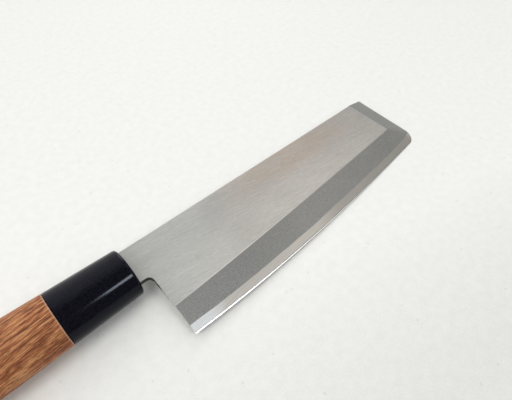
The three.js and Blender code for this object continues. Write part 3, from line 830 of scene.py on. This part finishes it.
def ground_walls():
    """Heel, neck, spine and front of the tip: ground square across, with short cross lines. The
    notch under the neck is painted dark, a painted shade for its shadowed wall."""
    made, tree, shader, place = finish_of("cross_ground_steel", Metallic=1.0)
    strokes = drawn_noise(tree, place, (0.35, 0.35, 5))
    tone = add(tree, "ShaderNodeValToRGB", links={0: strokes.outputs[0]}, stops=[
        (0.3, linear("#C4C2BD")), (0.7, linear("#DEDCD8"))])
    middle = add(tree, "ShaderNodeVectorMath", operation="SUBTRACT", links={0: place}, values={
        1: (HEEL_X - NOTCH_RADIUS, -NECK_DEPTH - NOTCH_RADIUS, 0)})
    flat_place = add(tree, "ShaderNodeVectorMath", operation="MULTIPLY", links={
        0: middle.outputs[0]}, values={1: (1, 1, 0)})
    away = add(tree, "ShaderNodeVectorMath", operation="LENGTH", links={0: flat_place.outputs[0]})
    # Painted shade on the notch's wall: dark within 3.4 mm of the notch, fading out by 7 mm
    notch_painted_shade = add(tree, "ShaderNodeMapRange", interpolation_type="SMOOTHSTEP", links={
        "Value": away.outputs["Value"]}, values={"From Min": 7.0, "From Max": 3.4})
    worked_and_painted = add(tree, "ShaderNodeMix", data_type="RGBA", links={
        0: notch_painted_shade.outputs[0], 6: tone.outputs[0]}, values={7: linear("#3E3E38")})
    rough = add(tree, "ShaderNodeMapRange", links={"Value": strokes.outputs[0]}, values={
        "To Min": 0.3, "To Max": 0.42})
    dress(tree, shader, worked_and_painted.outputs[2], rough.outputs[0], strokes.outputs[0])
    return made


def hollow_back():
    """The back: its dish is ground across on a wheel, and the rim round it is lapped flat and
    brighter. Both have lines a few tenths of a millimetre wide."""
    made, tree, shader, place = finish_of("wheel_ground_edge_steel", Metallic=1.0)
    parts = add(tree, "ShaderNodeSeparateXYZ", links={0: place})
    depth = add(tree, "ShaderNodeMapRange", links={"Value": parts.outputs["Z"]}, values={
        "From Min": BACK_Z, "From Max": BACK_Z + 0.012})
    strokes = drawn_noise(tree, place, (18, 0.45, 0.45), 78.0, detail=3.0)
    laps = drawn_noise(tree, place, (16, 0.35, 0.35))
    dish = add(tree, "ShaderNodeValToRGB", links={0: strokes.outputs[0]}, stops=[
        (0.3, linear("#A7A6A0")), (0.5, linear("#B4B3AD")), (0.7, linear("#C0BFBA"))])
    rim = add(tree, "ShaderNodeValToRGB", links={0: laps.outputs[0]}, stops=[
        (0.3, linear("#C4C2BE")), (0.7, linear("#D4D3CF"))])
    tone = add(tree, "ShaderNodeMix", data_type="RGBA", links={
        0: depth.outputs[0], 6: rim.outputs[0], 7: dish.outputs[0]})
    rough = add(tree, "ShaderNodeMapRange", links={"Value": depth.outputs[0]}, values={
        "To Min": 0.24, "To Max": 0.38})
    dress(tree, shader, tone.outputs[2], rough.outputs[0], strokes.outputs[0])
    return made


def forged_tang():
    """The tang and the neck's end keep their forge scale: dark, uneven and dull, in blotches of
    about 2 mm."""
    made, tree, shader, place = finish_of("forge_scaled_steel", Metallic=0.85)
    blotch = add(tree, "ShaderNodeTexNoise", links={"Vector": place}, values={
        "Scale": 0.5, "Detail": 5.0})
    tone = add(tree, "ShaderNodeValToRGB", links={0: blotch.outputs[0]}, stops=[
        (0.35, linear("#4A4744")), (0.55, linear("#66625D")), (0.75, linear("#8A857E"))])
    rough = add(tree, "ShaderNodeMapRange", links={"Value": blotch.outputs[0]}, values={
        "To Min": 0.7, "To Max": 0.45})
    dress(tree, shader, tone.outputs[0], rough.outputs[0], blotch.outputs[0], strength=0.5, depth=0.0001)
    return made


def moulded_resin():
    """The ferrule: black phenolic resin, moulded and buffed. Near black with a cool sheen, a fine
    haze of under a millimetre, very faint lengthwise buffing marks and a few specks of dust."""
    made, tree, shader, place = finish_of(
        "buffed_black_resin", IOR=1.5, Specular_IOR_Level=0.2, Specular_Tint=linear("#E4EAF8"))
    buffing = drawn_noise(tree, place, (9, 0.5, 0.5), detail=3.0)
    dust = add(tree, "ShaderNodeTexVoronoi", links={"Vector": place}, values={"Scale": 0.32})
    speck = add(tree, "ShaderNodeMapRange", links={"Value": dust.outputs["Distance"]}, values={
        "From Min": 0.05, "From Max": 0.035})
    haze = add(tree, "ShaderNodeTexNoise", links={"Vector": place}, values={
        "Scale": 1.4, "Detail": 2.0, "Roughness": 0.7})
    black = add(tree, "ShaderNodeValToRGB", links={0: haze.outputs[0]}, stops=[
        (0.43, linear("#010007")), (0.57, linear("#0E0C16"))])
    tone = add(tree, "ShaderNodeMix", data_type="RGBA", links={
        0: speck.outputs[0], 6: black.outputs[0]}, values={7: linear("#2A2A30")})
    rough = add(tree, "ShaderNodeMapRange", links={"Value": buffing.outputs[0]}, values={
        "From Min": 0.3, "From Max": 0.7, "To Min": 0.08, "To Max": 0.13})
    dress(tree, shader, tone.outputs[2], rough.outputs[0], buffing.outputs[0], strength=0.08)
    return made


def poured_seal():
    """The seal in the ferrule's mouth: filled epoxy, poured and wiped, brown-grey and dull."""
    made, tree, shader, place = finish_of("poured_filled_epoxy", IOR=1.5)
    blotch = add(tree, "ShaderNodeTexNoise", links={"Vector": place}, values={
        "Scale": 1.2, "Detail": 3.0})
    tone = add(tree, "ShaderNodeValToRGB", links={0: blotch.outputs[0]}, stops=[
        (0.3, linear("#2C2722")), (0.7, linear("#473F36"))])
    rough = add(tree, "ShaderNodeMapRange", links={"Value": blotch.outputs[0]}, values={
        "To Min": 0.4, "To Max": 0.62})
    dress(tree, shader, tone.outputs[0], rough.outputs[0])
    return made


def oiled_wood():
    """The grip: ring-porous hardwood, turned, sanded and oiled. Orange-brown, with darker grain
    lines about a millimetre apart and open pores drawn out along the grain, 5 mm long. Its eased
    edge at the ferrule was sanded last and is paler."""
    made, tree, shader, place = finish_of("oiled_ring_porous_hardwood", IOR=1.5, Specular_IOR_Level=0.3)
    sway = drawn_noise(tree, place, (46, 9, 9), detail=3.0)
    swing = add(tree, "ShaderNodeVectorMath", operation="SCALE", links={
        0: sway.outputs["Color"]}, values={"Scale": 2.0})
    bent = add(tree, "ShaderNodeVectorMath", operation="ADD", links={0: place, 1: swing.outputs[0]})
    pith = add(tree, "ShaderNodeMapping", vector_type="TEXTURE", links={"Vector": bent.outputs[0]}, values={
        "Location": (0, 31, -12), "Rotation": (0, math.radians(3), math.radians(4))})
    rings = add(tree, "ShaderNodeTexWave", wave_type="RINGS", rings_direction="X", wave_profile="SIN",
                links={"Vector": pith.outputs[0]}, values={"Scale": 0.19, "Distortion": 2.0, "Detail": 3.0})
    strands = drawn_noise(
        tree, bent.outputs[0], (9, 0.46, 0.46), WOOD_TURN, detail=4.0, roughness=0.65)
    grain = add(tree, "ShaderNodeMix", data_type="FLOAT", values={0: 0.86}, links={
        2: rings.outputs["Fac"], 3: strands.outputs[0]})
    ground = add(tree, "ShaderNodeValToRGB", links={0: grain.outputs[0]}, stops=[
        (0.37, linear("#6C391E")), (0.46, linear("#965734")),
        (0.53, linear("#B07245")), (0.63, linear("#CC9464"))])
    pores = drawn_noise(tree, bent.outputs[0], (5, 0.34, 0.34), WOOD_TURN, roughness=0.6)
    open_pores = add(tree, "ShaderNodeMapRange", links={"Value": pores.outputs[0]}, values={
        "From Min": 0.53, "From Max": 0.62})
    depth = add(tree, "ShaderNodeMath", operation="MULTIPLY", links={0: open_pores.outputs[0]}, values={
        1: 0.75})
    pored = add(tree, "ShaderNodeMix", data_type="RGBA", links={
        0: depth.outputs[0], 6: ground.outputs[0]}, values={7: linear("#5C3018")})
    parts = add(tree, "ShaderNodeSeparateXYZ", links={0: place})
    eased = add(tree, "ShaderNodeMapRange", links={"Value": parts.outputs["X"]}, values={
        "From Min": -31.8, "From Max": -31.4, "To Max": 0.45})
    edged = add(tree, "ShaderNodeMix", data_type="RGBA", links={
        0: eased.outputs[0], 6: pored.outputs[2]}, values={7: linear("#D2B09A")})
    rough = add(tree, "ShaderNodeMapRange", links={"Value": depth.outputs[0]}, values={
        "To Min": 0.5, "To Max": 0.75})
    dress(tree, shader, edged.outputs[2], rough.outputs[0], depth.outputs[0], 0.5, 0.00012, invert=True)
    return made


def table_paper():
    """The table: white coated board with a painted shade that greys it towards its near side, with
    faint specks, a mottle of about 4 mm, and a tooth of under a millimetre that shows near the
    camera. It is as coarse as it needs to be to show."""
    made = bpy.data.materials.new("white_coated_board")
    made.use_nodes = True
    tree = made.node_tree
    shader = tree.nodes["Principled BSDF"]
    shader.inputs["Roughness"].default_value = 0.62
    shader.inputs["Specular IOR Level"].default_value = 0.2
    place = add(tree, "ShaderNodeTexCoord").outputs["Object"]
    dust = add(tree, "ShaderNodeTexVoronoi", links={"Vector": place}, values={"Scale": 130})
    speck = add(tree, "ShaderNodeMapRange", links={"Value": dust.outputs["Distance"]}, values={
        "From Min": 0.1, "From Max": 0.06})
    mottle = add(tree, "ShaderNodeTexNoise", links={"Vector": place}, values={
        "Scale": 260, "Detail": 3.0})
    board = add(tree, "ShaderNodeValToRGB", links={0: mottle.outputs[0]}, stops=[
        (0.3, linear("#EDEDE9")), (0.7, linear("#F2F2EE"))])
    share = add(tree, "ShaderNodeMath", operation="MULTIPLY", links={0: speck.outputs[0]}, values={
        1: 0.35})
    tone = add(tree, "ShaderNodeMix", data_type="RGBA", links={
        0: share.outputs[0], 6: board.outputs[0]}, values={7: linear("#D2D1CD")})
    near = add(tree, "ShaderNodeVectorMath", operation="DOT_PRODUCT", links={0: place}, values={
        1: (-0.25, -1, 0)})
    # Painted shade: the board darkens to 0.85 of its tone towards the near side
    near_painted_shade = add(tree, "ShaderNodeMapRange", links={"Value": near.outputs["Value"]}, values={
        "From Min": 0.02, "From Max": 0.095, "To Min": 1.0, "To Max": 0.85})
    tooth = add(tree, "ShaderNodeTexNoise", links={"Vector": place}, values={
        "Scale": 1400, "Detail": 1.0})
    relief = add(tree, "ShaderNodeMapRange", links={"Value": near.outputs["Value"]}, values={
        "From Min": -0.08, "From Max": 0.06, "To Min": 0.0, "To Max": 0.12})
    centred = add(tree, "ShaderNodeMath", operation="SUBTRACT", links={0: tooth.outputs[0]}, values={
        1: 0.5})
    toothed = add(tree, "ShaderNodeMath", operation="MULTIPLY_ADD", links={
        0: centred.outputs[0], 1: relief.outputs[0], 2: near_painted_shade.outputs[0]})
    greyed = add(tree, "ShaderNodeVectorMath", operation="SCALE", links={
        0: tone.outputs[2], "Scale": toothed.outputs[0]})
    dress(tree, shader, greyed.outputs[0])
    return made


# The pieces

blade = blade_piece([
    brushed_flat(), ridge_painted_highlight(), blasted_bevel(), honing_line(), honed_bevel(), ground_walls(),
    hollow_back(), forged_tang()])
ferrule = ferrule_piece(moulded_resin())
grip = handle_piece(oiled_wood())

for piece, node, slot in (
    (blade, "blade", "blade_steel"),
    (ferrule, "ferrule", "ferrule_resin"),
    (grip, "wooden_handle", "handle_wood"),
):
    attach(piece, "root")
    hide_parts(node)

seal = frame["nodes"]["mouth_seal"]
seal.data.materials.clear()
seal.data.materials.append(poured_seal())

# Table, light and camera

# How far the table reaches from the knife, in metres
TABLE_HALF_WIDTH = 2.5
bm = bmesh.new()
bmesh.ops.create_grid(bm, x_segments=8, y_segments=8, size=TABLE_HALF_WIDTH)
table_mesh = bpy.data.meshes.new("table_board")
bm.to_mesh(table_mesh)
bm.free()
table_mesh.materials.append(table_paper())
table = put("table_board", table_mesh)


def panel(name, place, size, watts, tone):
    """A soft rectangular lamp that faces the knife's middle."""
    lamp = bpy.data.lights.new(name, "AREA")
    lamp.shape = "RECTANGLE"
    lamp.size, lamp.size_y = size
    lamp.energy = watts
    lamp.color = linear(tone)[:3]
    made = put(name, lamp)
    made.location = place
    made.rotation_euler = (-Vector(place)).to_track_quat("-Z", "Y").to_euler()


# Places and sizes in metres, powers in watts: daylight from a window and a bright ceiling on the
# left, softer light along the right, and one small lamp on the near side whose reflection is the
# streak on the ferrule
panel("left_window", (-1.07, 0.0, 0.9), (0.9, 0.8), 3.1, "#FFFFFF")
panel("ceiling_left", (-0.75, 0.0, 1.3), (0.7, 0.7), 6.1, "#FEFFFF")
panel("ceiling_right", (0.95, 0.2, 1.5), (0.4, 1.2), 1.2, "#FFF0E2")
panel("near_lamp", (0.385, -1.12, 1.5), (0.4, 0.28), 5.1, "#F6FBFF")
panel("near_tube", (1.1, -1.2, 1.5), (1.2, 0.4), 2.8, "#FFFEFA")
panel("near_right", (1.05, -0.45, 1.5), (0.4, 0.5), 0.2, "#FFFFFF")
panel("tip_side", (1.43, 0.25, 0.39), (0.9, 0.5), 0.75, "#FDFFFF")
panel("far_wall", (0.83, 1.06, 0.66), (0.9, 0.8), 4.4, "#FBFAFF")

world = bpy.data.worlds.new("studio")
bpy.context.scene.world = world
world.use_nodes = True
tree = world.node_tree
tree.nodes.clear()

# The room's own light is even, with a brighter patch high on the far side. The camera sees it pale.
way = add(tree, "ShaderNodeTexCoord").outputs["Generated"]
toward = add(tree, "ShaderNodeVectorMath", operation="DOT_PRODUCT", links={0: way}, values={
    1: (0.05, 0.82, 0.57)})
glow = add(tree, "ShaderNodeMapRange", interpolation_type="SMOOTHSTEP", links={
    "Value": toward.outputs["Value"]}, values={
    "From Min": 0.55, "From Max": 1.0, "To Min": 0.315, "To Max": 1.1})
room = add(tree, "ShaderNodeCombineColor", links={
    "Red": glow.outputs[0], "Green": glow.outputs[0], "Blue": glow.outputs[0]})
lit = add(tree, "ShaderNodeBackground", links={"Color": room.outputs[0]}, values={"Strength": 1.0})
seen = add(tree, "ShaderNodeBackground", values={"Color": linear("#F2F2EF"), "Strength": 1.0})
camera_ray = add(tree, "ShaderNodeLightPath").outputs["Is Camera Ray"]
both = add(tree, "ShaderNodeMixShader", links={0: camera_ray, 1: lit.outputs[0], 2: seen.outputs[0]})
add(tree, "ShaderNodeOutputWorld", links={"Surface": both.outputs[0]})

# The camera stands where the photograph was taken from, in the knife's axes, for a 512 x 400 frame
FRAME_WIDTH = 512
FOCAL_PIXELS = 400.0
SENSOR_WIDTH = 36
CAMERA_PLACE = (-23.001, -74.537, 159.590)
CAMERA_RIGHT = (0.730476, -0.671872, 0.122443)
CAMERA_DOWN = (-0.506047, -0.652898, -0.563596)
CAMERA_AHEAD = (0.458608, 0.349732, -0.816925)
camera_data = bpy.data.cameras.new("camera")
camera_data.sensor_width = SENSOR_WIDTH
camera_data.lens = camera_data.sensor_width * FOCAL_PIXELS / FRAME_WIDTH
camera_data.clip_start = 0.01
camera = put("camera", camera_data)
right, down, ahead = [knife_turn @ Vector(way) for way in (CAMERA_RIGHT, CAMERA_DOWN, CAMERA_AHEAD)]
camera_turn = Matrix((right, -down, -ahead)).transposed().to_4x4()
camera.matrix_world = Matrix.Translation(KNIFE @ Vector(CAMERA_PLACE)) @ camera_turn
bpy.context.scene.camera = camera

bpy.context.scene.view_settings.view_transform = "Standard"
